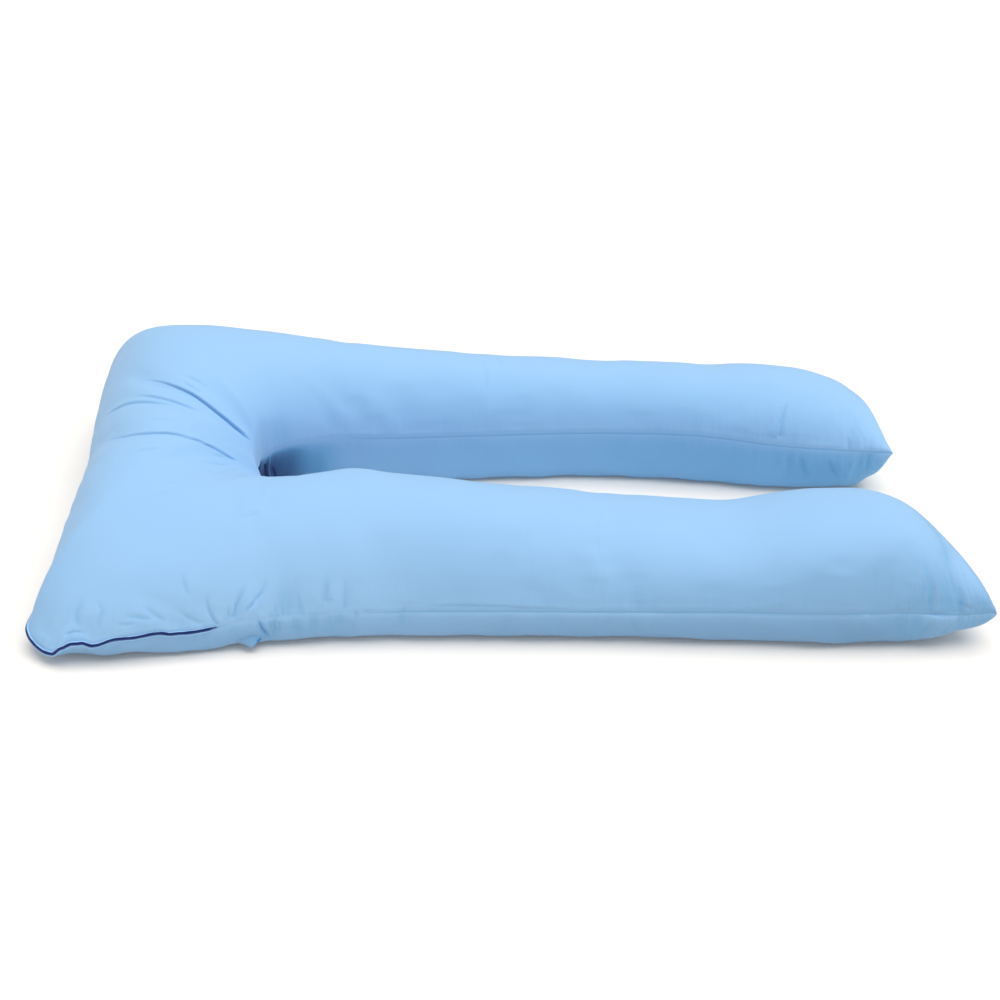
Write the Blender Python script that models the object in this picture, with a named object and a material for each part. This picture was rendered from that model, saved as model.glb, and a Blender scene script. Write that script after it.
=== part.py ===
"""Body pillow: a U-shaped, fibre-filled cushion of two sewn cotton panels,
lying flat on its back, with the closed zip along its crown end.

+X runs from the crown to the tips of the two arms, +Z is up, in metres.
The near arm lies at -Y and the far arm at +Y.
"""
import bpy
import bmesh
import numpy as np

for item in list(bpy.data.objects):
    bpy.data.objects.remove(item, do_unlink=True)

# ---- driving sizes ---------------------------------------------------------
POINTS_AROUND = 36          # points in one ring of the filled cushion
FLAT_FROM = 0.80            # share of the belly past which the cloth lies flat
BELLY_FULLNESS = 0.75       # below 1 the underside is fuller than the top
BELLY_GAIN = ((9.35, 0.0), (9.80, 0.30), (10.15, 0.30), (10.60, 0.0))   # fuller by the zip
PINCH_BAND = 0.50           # where the inner pinch blends into the outer one

# Round the crotch the cloth turns up in a lip and leans out over its seam, and
# below that seam the underside runs back. The rows count from SECTIONS.
CROTCH_LIP = 0.030
CROTCH_LIP_ROWS = (11.5, 22.0)
OVERHANG = 0.006
OVERHANG_ROWS = (10.5, 22.5)
UNDERCUT = ((12.0, 0.0), (14.0, 0.050), (20.0, 0.055), (22.0, 0.020), (24.0, 0.004),
            (26.0, 0.006), (27.0, 0.0), (28.0, 0.002), (29.3, 0.016), (30.5, 0.0))

ZIP_RADIUS = 0.0019         # half the closed coil's width
ZIP_GAP = 0.0005            # clearance between the coil and the seam
ZIP_FROM = 9.55             # where the zip starts, counted in SECTIONS rows
ZIP_TO = 17.20              # and where it ends

# One row for each cross-section, from the near arm's tip round the crown to
# the far arm's tip. The inner and outer points lie on the side seam. rise is
# the top panel's height above the seam, drop says how far the underside goes
# down to the floor, a pinch over 1 flattens the cloth next to its seam, draw
# pulls the middle of the section back, and rings is the number of rings up
# to the next row.
COLUMNS = ("inner_x", "inner_y", "inner_z", "outer_x", "outer_y", "outer_z",
           "rise", "drop", "inner_pinch", "outer_pinch", "draw", "rings")
SECTIONS = (
    # near arm
    (1.430, -0.116, 0.057, 1.498, -0.374, 0.064, 0.000, 0.00, 1.80, 1.00, -0.010, 2),
    (1.404, -0.115, 0.047, 1.494, -0.376, 0.069, 0.036, 0.30, 1.81, 0.99, -0.004, 2),
    (1.377, -0.112, 0.061, 1.443, -0.380, 0.069, 0.086, 0.70, 1.73, 1.11, -0.002, 3),
    (1.328, -0.101, 0.068, 1.353, -0.382, 0.075, 0.116, 1.00, 1.41, 1.16, -0.001, 3),
    (1.250, -0.096, 0.069, 1.250, -0.381, 0.074, 0.115, 1.00, 1.11, 1.01, 0.000, 4),
    (1.100, -0.104, 0.072, 1.100, -0.373, 0.072, 0.091, 1.00, 1.06, 1.14, 0.000, 4),
    (0.920, -0.099, 0.079, 0.920, -0.364, 0.067, 0.095, 1.00, 1.02, 1.30, 0.000, 5),
    (0.720, -0.096, 0.083, 0.720, -0.358, 0.066, 0.117, 1.00, 1.02, 1.28, 0.000, 4),
    (0.560, -0.090, 0.086, 0.540, -0.356, 0.064, 0.131, 1.00, 1.05, 1.25, 0.000, 4),
    (0.450, -0.073, 0.087, 0.380, -0.364, 0.058, 0.136, 1.00, 1.80, 1.05, 0.000, 4),
    # crown
    (0.400, -0.047, 0.088, 0.240, -0.386, 0.050, 0.134, 1.00, 2.20, 1.15, 0.000, 4),
    (0.376, -0.030, 0.086, 0.115, -0.402, 0.038, 0.140, 1.00, 2.10, 1.35, 0.000, 4),
    (0.346, -0.018, 0.088, 0.047, -0.398, 0.023, 0.148, 1.00, 1.70, 1.65, 0.000, 3),
    (0.337, -0.011, 0.090, 0.010, -0.356, 0.035, 0.147, 1.00, 1.55, 1.62, 0.000, 4),
    (0.331, -0.004, 0.090, 0.023, -0.295, 0.052, 0.147, 1.00, 1.55, 1.41, 0.000, 7),
    (0.328, 0.005, 0.090, 0.034, -0.160, 0.067, 0.152, 1.00, 1.50, 1.09, 0.000, 8),
    (0.327, 0.013, 0.092, 0.038, -0.010, 0.070, 0.159, 1.00, 1.45, 1.09, 0.000, 8),
    (0.328, 0.022, 0.097, 0.027, 0.145, 0.072, 0.168, 1.00, 1.40, 1.03, 0.000, 6),
    (0.331, 0.034, 0.102, 0.021, 0.290, 0.070, 0.178, 1.00, 1.10, 1.00, 0.000, 4),
    (0.336, 0.047, 0.108, 0.022, 0.385, 0.064, 0.180, 1.00, 1.12, 1.12, 0.000, 4),
    (0.352, 0.061, 0.114, 0.110, 0.400, 0.064, 0.176, 1.00, 1.12, 1.10, 0.000, 4),
    (0.388, 0.077, 0.120, 0.260, 0.382, 0.068, 0.162, 1.00, 1.10, 1.05, 0.000, 4),
    # far arm
    (0.450, 0.100, 0.116, 0.400, 0.365, 0.073, 0.143, 1.00, 1.08, 1.00, 0.000, 4),
    (0.560, 0.118, 0.107, 0.550, 0.356, 0.074, 0.126, 1.00, 1.05, 1.00, 0.000, 4),
    (0.720, 0.130, 0.105, 0.720, 0.352, 0.072, 0.113, 1.00, 1.00, 1.00, 0.000, 5),
    (0.920, 0.136, 0.105, 0.920, 0.350, 0.070, 0.100, 1.00, 1.00, 1.00, 0.000, 4),
    (1.100, 0.113, 0.110, 1.100, 0.347, 0.068, 0.096, 1.00, 1.03, 1.03, 0.000, 4),
    (1.240, 0.092, 0.100, 1.230, 0.343, 0.063, 0.103, 1.00, 1.06, 1.10, 0.000, 3),
    (1.330, 0.088, 0.094, 1.308, 0.340, 0.062, 0.091, 1.00, 1.14, 1.25, 0.000, 3),
    (1.388, 0.083, 0.093, 1.352, 0.336, 0.060, 0.065, 0.85, 1.18, 1.40, -0.004, 2),
    (1.415, 0.079, 0.093, 1.370, 0.333, 0.058, 0.039, 0.45, 1.28, 1.50, -0.006, 2),
    (1.427, 0.078, 0.093, 1.377, 0.332, 0.058, 0.000, 0.00, 1.28, 1.50, -0.006, 0),
)

# The creases that fan out over the crown from the crotch. row_in and row_out
# are their places in SECTIONS at the crotch and at the crown's end, across
# runs from -1 at the inner seam to 1 at the outer one, and width is in rows.
FOLD_COLUMNS = ("row_in", "row_out", "from_across", "to_across", "width", "depth")
FOLDS = (
    (15.7, 17.6, -0.95, 0.70, 0.28, 0.008),
    (15.2, 17.0, -0.65, 0.90, 0.24, 0.006),
    (13.7, 16.2, -0.50, 0.90, 0.26, 0.006),
)

# ---- materials -------------------------------------------------------------
CLOTH_COLOUR = (0.400, 0.660, 0.930, 1.0)
ZIP_COLOUR = (0.020, 0.050, 0.300, 1.0)


def make_material(name, colour, roughness):
    material = bpy.data.materials.new(name)
    material.use_nodes = True
    shader = material.node_tree.nodes["Principled BSDF"]
    shader.inputs["Base Color"].default_value = colour
    shader.inputs["Roughness"].default_value = roughness
    shader.inputs["Metallic"].default_value = 0.0
    material.diffuse_color = colour
    return material


def place_rows():
    """The place of each ring, counted in rows of SECTIONS."""
    places = []
    for row, section in enumerate(SECTIONS[:-1]):
        rings = section[COLUMNS.index("rings")]
        places += [row + step / rings for step in range(rings)]
    return places + [len(SECTIONS) - 1.0]


def section_at(place):
    """One section between two rows: a smooth curve through every row."""
    rows = np.array(SECTIONS, float)
    inner, outer = rows[:, 0:2], rows[:, 3:5]
    spans = (0.3 * np.linalg.norm(np.diff(inner, axis=0), axis=1)
             + 0.7 * np.linalg.norm(np.diff(outer, axis=0), axis=1))
    slopes = np.diff(rows, axis=0) / spans[:, None]
    tangents = np.vstack([slopes[:1], (slopes[:-1] * spans[1:, None]
                          + slopes[1:] * spans[:-1, None])
                          / (spans[1:] + spans[:-1])[:, None], slopes[-1:]])
    row = min(int(place), len(rows) - 2)
    step, span = place - row, spans[row]
    values = ((2 * step**3 - 3 * step**2 + 1) * rows[row]
              + (step**3 - 2 * step**2 + step) * span * tangents[row]
              + (3 * step**2 - 2 * step**3) * rows[row + 1]
              + (step**3 - step**2) * span * tangents[row + 1])
    return dict(zip(COLUMNS, values))


def ease(value):
    value = min(max(value, 0.0), 1.0)
    return value * value * (3 - 2 * value)


def window(place, rows):
    """Rises from 0 after the first row and falls back to 0 before the last."""
    return ease((place - rows[0]) / 3) * ease((rows[1] - place) / 3)


def value_at(pairs, place):
    """A value that eases from each (row, value) pair to the next."""
    for (first, low), (last, high) in zip(pairs, pairs[1:]):
        if first <= place <= last:
            return low + (high - low) * ease((place - first) / (last - first))
    return 0.0


def fold_depth(place, across):
    """How far the creases press the top panel down at one point."""
    depth = 0.0
    for row in FOLDS:
        fold = dict(zip(FOLD_COLUMNS, row))
        middle = fold["row_in"] + (fold["row_out"] - fold["row_in"]) * (across + 1) / 2
        along = (ease((across - fold["from_across"]) / 0.35)
                 * ease((fold["to_across"] - across) / 0.45))
        side = (place - middle) / fold["width"]
        depth += fold["depth"] * along * np.exp(-side * side)
    return depth


def ring_points(place):
    """One closed ring: outer seam, over the top, inner seam, and underneath."""
    cut = section_at(place)
    reach = np.hypot(cut["outer_x"] - cut["inner_x"], cut["outer_y"] - cut["inner_y"])
    outward = ((cut["outer_x"] - cut["inner_x"]) / reach,
               (cut["outer_y"] - cut["inner_y"]) / reach)
    points = []
    for number in range(POINTS_AROUND):
        angle = 2 * np.pi * number / POINTS_AROUND
        across, bulge = np.cos(angle), abs(np.sin(angle))
        if number in (0, POINTS_AROUND // 2):
            bulge = 0.0
        share = (across + 1) / 2
        blend = ease((across + PINCH_BAND) / (2 * PINCH_BAND))
        pinch = cut["inner_pinch"] + (cut["outer_pinch"] - cut["inner_pinch"]) * blend
        x = cut["inner_x"] + (cut["outer_x"] - cut["inner_x"]) * share
        y = cut["inner_y"] + (cut["outer_y"] - cut["inner_y"]) * share
        seam = cut["inner_z"] + (cut["outer_z"] - cut["inner_z"]) * share
        if number <= POINTS_AROUND // 2:
            z = seam + max(cut["rise"], 0.0) * bulge**pinch
            z -= fold_depth(place, across) * min(1.0, 3 * bulge)
            if across < 0:
                z += (CROTCH_LIP * window(place, CROTCH_LIP_ROWS)
                      * ease(bulge / 0.3) * (1 - bulge * bulge))
                lean = (OVERHANG * window(place, OVERHANG_ROWS)
                        * 6.75 * bulge * (1 - bulge)**2)
                x, y = x - lean * outward[0], y - lean * outward[1]
        else:
            fullness = BELLY_FULLNESS * pinch * (1 - value_at(BELLY_GAIN, place) * blend)
            sunk = min(bulge**fullness / FLAT_FROM, 1.0)
            fallen = min(max(cut["drop"], 0.0), 1.0) * (1 - (1 - sunk)**2)
            z = seam * (1 - fallen)
            if across < 0:
                back = value_at(UNDERCUT, place) * fallen * across * across
                x, y = x + back * outward[0], y + back * outward[1]
        points.append((x - cut["draw"] * (1 - across * across), y, z))
    return points


def make_pillow(collection, material):
    mesh_data = bmesh.new()
    rings = [[mesh_data.verts.new(point) for point in ring_points(place)]
             for place in place_rows()]
    for ring, following in zip(rings, rings[1:]):
        for number in range(POINTS_AROUND):
            beside = (number + 1) % POINTS_AROUND
            mesh_data.faces.new((ring[number], ring[beside],
                                 following[beside], following[number]))
    # the panels meet in the end seams, so the first and last rings close flat
    bmesh.ops.remove_doubles(mesh_data, verts=mesh_data.verts, dist=0.00001)
    bmesh.ops.recalc_face_normals(mesh_data, faces=mesh_data.faces)
    mesh = bpy.data.meshes.new("pillow")
    mesh_data.to_mesh(mesh)
    mesh_data.free()
    mesh.shade_smooth()
    mesh.materials.append(material)
    pillow = bpy.data.objects.new("pillow", mesh)
    collection.objects.link(pillow)
    return pillow


def zip_path():
    """The coil's centre line, just outside the side seam."""
    places = [place for place in place_rows() if ZIP_FROM < place < ZIP_TO]
    places = [ZIP_FROM] + places + [ZIP_TO]
    seam = [section_at(place) for place in places]
    line = np.array([(cut["outer_x"], cut["outer_y"], cut["outer_z"]) for cut in seam])
    along = np.gradient(line, axis=0)
    outward = np.stack([-along[:, 1], along[:, 0], 0 * along[:, 0]], axis=1)
    outward /= np.linalg.norm(outward, axis=1)[:, None]
    middle = np.array([(cut["inner_x"], cut["inner_y"], cut["inner_z"]) for cut in seam])
    outward *= np.sign(np.sum(outward * (line - middle), axis=1))[:, None]
    return line + outward * (ZIP_RADIUS + ZIP_GAP)


def make_zip(collection, material):
    path = zip_path()
    curve = bpy.data.curves.new("zip", "CURVE")
    curve.dimensions = "3D"
    curve.bevel_depth = ZIP_RADIUS
    curve.bevel_resolution = 2
    curve.use_fill_caps = True
    spline = curve.splines.new("POLY")
    spline.points.add(len(path) - 1)
    for point, place in zip(spline.points, path):
        point.co = (*place, 1.0)
    curve.materials.append(material)
    coil = bpy.data.objects.new("zip", curve)
    collection.objects.link(coil)
    return coil


def centre_on_floor(parts):
    """Put the middle of the whole pillow's footprint over the origin."""
    bpy.context.view_layer.update()
    graph = bpy.context.evaluated_depsgraph_get()
    corners = np.array([vertex.co for part in parts
                        for vertex in part.evaluated_get(graph).to_mesh().vertices])
    low, high = corners.min(axis=0), corners.max(axis=0)
    for part in parts:
        part.location = (-(low[0] + high[0]) / 2, -(low[1] + high[1]) / 2, 0.0)


collection = bpy.data.collections.new("body_pillow")
bpy.context.scene.collection.children.link(collection)
cloth = make_material("blue cotton", CLOTH_COLOUR, 0.85)
coil_plastic = make_material("navy zip coil", ZIP_COLOUR, 0.50)
centre_on_floor([make_pillow(collection, cloth), make_zip(collection, coil_plastic)])
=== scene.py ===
# Body pillow: a U-shaped, fibre-filled cushion of light blue cotton that lies on
# its back, with a closed navy zip along its crown end.
import math

import bmesh
import bpy
import numpy as np
from mathutils import Matrix, Vector


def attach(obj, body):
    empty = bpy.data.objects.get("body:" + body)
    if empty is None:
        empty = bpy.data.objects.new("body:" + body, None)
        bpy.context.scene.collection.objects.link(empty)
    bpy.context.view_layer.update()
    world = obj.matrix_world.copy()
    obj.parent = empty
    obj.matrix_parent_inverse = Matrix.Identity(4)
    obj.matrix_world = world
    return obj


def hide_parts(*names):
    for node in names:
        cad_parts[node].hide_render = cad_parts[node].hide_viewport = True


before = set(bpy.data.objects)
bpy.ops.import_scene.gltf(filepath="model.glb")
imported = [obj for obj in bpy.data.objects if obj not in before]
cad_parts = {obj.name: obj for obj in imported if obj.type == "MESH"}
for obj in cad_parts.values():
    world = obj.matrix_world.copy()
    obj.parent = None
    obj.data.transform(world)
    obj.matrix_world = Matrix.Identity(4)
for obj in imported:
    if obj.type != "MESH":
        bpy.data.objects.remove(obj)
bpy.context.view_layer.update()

# Each section row: inner x, y, z and outer x, y, z on the side seam, the top
# panel's rise, how far the underside drops, the inner and outer pinch, how far
# the middle is drawn back, and the rings up to the next row.
pillow = {
    "slot": "blue_cotton",
    "fill": 0.8,                 # how tightly it is stuffed
    "pointsAround": 92,          # points in one ring
    "seamCrowding": 0.42,        # 0 spaces them evenly, near 1 crowds the seams
    "ringFactor": 2,             # rings for each ring of the table
    "shift": (-0.75191, 0.00435),   # brings the footprint's middle to the origin
    "flatFrom": 0.80,            # share of the belly that lies flat
    "bellyFullness": 0.75,
    # how much fuller the belly is beside the zip, by row
    "bellyGain": ((9.35, 0.0), (9.80, 0.30), (10.15, 0.30), (10.60, 0.0)),
    "pinchBand": 0.50,           # the inner pinch turns into the outer one inside it
    "crotchLip": 0.030,          # how high the cloth turns up round the crotch
    "crotchRows": (11.5, 22.0),
    "overhang": 0.006,           # how far the cloth leans out over the crotch's seam
    "overhangRows": (10.5, 22.5),
    "fadeRows": 3,               # both fade in and out over this many rows
    # how far the underside runs back below the inner seam, by row
    "undercut": ((12.0, 0.0), (14.0, 0.050), (20.0, 0.055), (22.0, 0.020), (24.0, 0.004),
                 (26.0, 0.006), (27.0, 0.0), (28.0, 0.002), (29.3, 0.016), (30.5, 0.0)),
    "sections": (
        (1.430, -0.116, 0.057, 1.498, -0.374, 0.064, 0.000, 0.00, 1.80, 1.00, -0.010, 2),
        (1.404, -0.115, 0.047, 1.494, -0.376, 0.069, 0.036, 0.30, 1.81, 0.99, -0.004, 2),
        (1.377, -0.112, 0.061, 1.443, -0.380, 0.069, 0.086, 0.70, 1.73, 1.11, -0.002, 3),
        (1.328, -0.101, 0.068, 1.353, -0.382, 0.075, 0.116, 1.00, 1.41, 1.16, -0.001, 3),
        (1.250, -0.096, 0.069, 1.250, -0.381, 0.074, 0.115, 1.00, 1.11, 1.01, 0.000, 4),
        (1.100, -0.104, 0.072, 1.100, -0.373, 0.072, 0.091, 1.00, 1.06, 1.14, 0.000, 4),
        (0.920, -0.099, 0.079, 0.920, -0.364, 0.067, 0.095, 1.00, 1.02, 1.30, 0.000, 5),
        (0.720, -0.096, 0.083, 0.720, -0.358, 0.066, 0.117, 1.00, 1.02, 1.28, 0.000, 4),
        (0.560, -0.090, 0.086, 0.540, -0.356, 0.064, 0.131, 1.00, 1.05, 1.25, 0.000, 4),
        (0.450, -0.073, 0.087, 0.380, -0.364, 0.058, 0.136, 1.00, 1.80, 1.05, 0.000, 5),
        (0.400, -0.047, 0.088, 0.240, -0.386, 0.050, 0.134, 1.00, 2.20, 1.15, 0.000, 5),
        (0.376, -0.030, 0.086, 0.115, -0.402, 0.038, 0.140, 1.00, 2.10, 1.35, 0.000, 4),
        (0.346, -0.018, 0.088, 0.047, -0.398, 0.023, 0.148, 1.00, 1.70, 1.65, 0.000, 3),
        (0.337, -0.011, 0.090, 0.010, -0.356, 0.035, 0.147, 1.00, 1.55, 1.62, 0.000, 4),
        (0.331, -0.004, 0.090, 0.023, -0.295, 0.052, 0.147, 1.00, 1.55, 1.41, 0.000, 7),
        (0.328, 0.005, 0.090, 0.034, -0.160, 0.067, 0.152, 1.00, 1.50, 1.09, 0.000, 8),
        (0.327, 0.013, 0.092, 0.038, -0.010, 0.070, 0.159, 1.00, 1.45, 1.09, 0.000, 8),
        (0.328, 0.022, 0.097, 0.027, 0.145, 0.072, 0.168, 1.00, 1.40, 1.03, 0.000, 6),
        (0.331, 0.034, 0.102, 0.021, 0.290, 0.070, 0.178, 1.00, 1.10, 1.00, 0.000, 4),
        (0.336, 0.047, 0.108, 0.022, 0.385, 0.064, 0.180, 1.00, 1.12, 1.12, 0.000, 4),
        (0.352, 0.061, 0.114, 0.110, 0.400, 0.064, 0.176, 1.00, 1.12, 1.10, 0.000, 4),
        (0.388, 0.077, 0.120, 0.260, 0.382, 0.068, 0.162, 1.00, 1.10, 1.05, 0.000, 4),
        (0.450, 0.100, 0.116, 0.400, 0.365, 0.073, 0.143, 1.00, 1.08, 1.00, 0.000, 4),
        (0.560, 0.118, 0.107, 0.550, 0.356, 0.074, 0.126, 1.00, 1.05, 1.00, 0.000, 4),
        (0.720, 0.130, 0.105, 0.720, 0.352, 0.072, 0.113, 1.00, 1.00, 1.00, 0.000, 5),
        (0.920, 0.136, 0.105, 0.920, 0.350, 0.070, 0.100, 1.00, 1.00, 1.00, 0.000, 4),
        (1.100, 0.113, 0.110, 1.100, 0.347, 0.068, 0.096, 1.00, 1.03, 1.03, 0.000, 4),
        (1.240, 0.092, 0.100, 1.230, 0.343, 0.063, 0.103, 1.00, 1.06, 1.10, 0.000, 3),
        (1.330, 0.088, 0.094, 1.308, 0.340, 0.062, 0.091, 1.00, 1.14, 1.25, 0.000, 3),
        (1.388, 0.083, 0.093, 1.352, 0.336, 0.060, 0.065, 0.85, 1.18, 1.40, -0.004, 2),
        (1.415, 0.079, 0.093, 1.370, 0.333, 0.058, 0.039, 0.45, 1.28, 1.50, -0.006, 2),
        (1.427, 0.078, 0.093, 1.377, 0.332, 0.058, 0.000, 0.00, 1.28, 1.50, -0.006, 0),
    ),
    # broad troughs over the crown: row at the crotch, row at the crown's end,
    # from and to across (-1 inner seam, 1 outer seam), width in rows, depth
    "troughs": (
        (15.7, 17.6, -0.95, 0.70, 0.28, 0.008),
        (15.2, 17.0, -0.65, 0.90, 0.24, 0.006),
        (13.7, 16.2, -0.50, 0.90, 0.26, 0.006),
    ),
    "troughEnds": (0.35, 0.45),  # how soon each trough starts and stops
    "underAside": 2.0,           # the flat underside lies this far beside the top
    "weldWithin": 0.00001,
}
rows = np.array(pillow["sections"])
(innerX, innerY, innerZ, outerX, outerY, outerZ, rise, drop,
 innerPinch, outerPinch, draw, ringCount) = range(12)
tiny = 0.000001                  # lengths and shares below this count as nothing


def ease(value):
    value = np.clip(value, 0.0, 1.0)
    return value * value * (3 - 2 * value)


def runsFrom(lengths, axis=0):
    # the running total of the lengths, from 0 on
    return np.insert(np.cumsum(lengths, axis=axis), 0, 0.0, axis=axis)


def sectionAt(place):
    # a smooth curve through every row, paced by the seams' lengths
    spans = (0.3 * np.linalg.norm(np.diff(rows[:, :2], axis=0), axis=1)
             + 0.7 * np.linalg.norm(np.diff(rows[:, 3:5], axis=0), axis=1))
    slopes = np.diff(rows, axis=0) / spans[:, None]
    middles = ((slopes[:-1] * spans[1:, None] + slopes[1:] * spans[:-1, None])
               / (spans[1:] + spans[:-1])[:, None])
    tangents = np.vstack([slopes[:1], middles, slopes[-1:]])
    row = min(int(place), len(rows) - 2)
    step, span = place - row, spans[row]
    return ((2 * step**3 - 3 * step**2 + 1) * rows[row]
            + (step**3 - 2 * step**2 + step) * span * tangents[row]
            + (3 * step**2 - 2 * step**3) * rows[row + 1]
            + (step**3 - step**2) * span * tangents[row + 1])


def valueAt(pairs, place):
    # a value that eases from each (row, value) pair to the next
    for (first, low), (last, high) in zip(pairs, pairs[1:]):
        if first <= place <= last:
            return low + (high - low) * ease((place - first) / (last - first))
    return 0.0


def byRow(pairs, places):
    return np.array([valueAt(pairs, place) for place in places])


def insideRows(span, place):
    first, last = span
    return (ease((place - first) / pillow["fadeRows"])
            * ease((last - place) / pillow["fadeRows"]))


def troughDepth(place, across):
    depth = 0.0
    starting, stopping = pillow["troughEnds"]
    for atCrotch, atEnd, start, stop, width, deep in pillow["troughs"]:
        middle = atCrotch + (atEnd - atCrotch) * (across + 1) / 2
        along = ease((across - start) / starting) * ease((stop - across) / stopping)
        depth += deep * along * math.exp(-((place - middle) / width) ** 2)
    return depth


def clothPoint(place, angle):
    # a point of the filled cushion: angle 0 is the outer seam, pi the inner one,
    # and from pi on round it is the underside
    cut = sectionAt(place)
    across = math.cos(angle)
    bulge = abs(math.sin(angle))
    if bulge < tiny:
        bulge = 0.0
    share = (across + 1) / 2
    band = pillow["pinchBand"]
    blend = ease((across + band) / (2 * band))
    pinch = cut[innerPinch] + (cut[outerPinch] - cut[innerPinch]) * blend
    wayX, wayY = cut[outerX] - cut[innerX], cut[outerY] - cut[innerY]
    seam = cut[innerZ] + (cut[outerZ] - cut[innerZ]) * share
    outwards = 0.0
    if math.sin(angle) >= 0 or bulge == 0.0:
        z = seam + max(cut[rise], 0.0) * bulge ** pinch
        z -= troughDepth(place, across) * min(1.0, 3 * bulge)
        if across < 0:
            turnedUp = insideRows(pillow["crotchRows"], place) * ease(bulge / 0.3)
            z += pillow["crotchLip"] * turnedUp * (1 - bulge * bulge)
            # 27 / 4 brings the lean's highest value to 1
            lean = (27 / 4) * bulge * (1 - bulge) ** 2
            outwards = -insideRows(pillow["overhangRows"], place) * pillow["overhang"] * lean
    else:
        fullness = pillow["bellyFullness"] * pinch
        fullness *= 1 - valueAt(pillow["bellyGain"], place) * blend
        sunk = min(bulge ** fullness / pillow["flatFrom"], 1.0)
        fallen = min(max(cut[drop], 0.0), 1.0) * (1 - (1 - sunk) ** 2)
        z = seam * (1 - fallen)
        if across < 0:
            outwards = valueAt(pillow["undercut"], place) * fallen * across * across
    outwards /= math.hypot(wayX, wayY)
    return Vector((cut[innerX] + wayX * (share + outwards)
                   - cut[draw] * (1 - across * across) + pillow["shift"][0],
                   cut[innerY] + wayY * (share + outwards) + pillow["shift"][1], z))


def ringPlaces():
    places = []
    for row, section in enumerate(pillow["sections"][:-1]):
        rings = section[ringCount] * pillow["ringFactor"]
        places += [row + step / rings for step in range(rings)]
    return places + [len(rows) - 1.0]


def crowdedAngle(number):
    # points sit closer together next to the two seams
    turn = 2 * number / pillow["pointsAround"]
    return math.pi * (turn - pillow["seamCrowding"] * math.sin(2 * math.pi * turn)
                      / (2 * math.pi))


def pullRing(mesh, edges):
    # the next ring's points and edges
    pulled = bmesh.ops.extrude_edge_only(mesh, edges=edges)["geom"]
    ring = [part for part in pulled if isinstance(part, bmesh.types.BMVert)]
    return ring, [part for part in pulled if isinstance(part, bmesh.types.BMEdge)
                  and all(vertex in ring for vertex in part.verts)]


def turnOutwards(mesh):
    bmesh.ops.recalc_face_normals(mesh, faces=mesh.faces)
    if mesh.calc_volume(signed=True) < 0:
        bmesh.ops.reverse_faces(mesh, faces=mesh.faces)


def layFlat(mesh, layerOf, ways):
    # the UV map is the cut cloth in metres; the underside lies beside the top
    pattern = mesh.loops.layers.uv.new("cutCloth")
    mesh.verts.index_update()
    for face in mesh.faces:
        under = sum(vertex[layerOf["side"]] for vertex in face.verts) < 0
        for corner in face.loops:
            vertex = corner.vert
            u, v = vertex[layerOf["flatU"]], vertex[layerOf["flatV"]]
            if under:
                if vertex[layerOf["across"]] > 0.9999:
                    way = ways[vertex.index // pillow["pointsAround"]]
                    u += way[0] * vertex[layerOf["underExtra"]]
                    v += way[1] * vertex[layerOf["underExtra"]]
                v -= pillow["underAside"]
            corner[pattern].uv = (u, v)


def fixOrder(mesh):
    # the operators list edges and faces in a new order each run, which would set
    # the cloth off differently, so they are put in their points' order
    mesh.verts.index_update()
    count = len(mesh.verts)

    def order(part):
        first, second, *others = sorted(vertex.index for vertex in part.verts)
        return (first * count + second) * 2 * count + sum(others)

    for parts in (mesh.edges, mesh.faces):
        parts.sort(key=order)
        parts.index_update()


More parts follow.
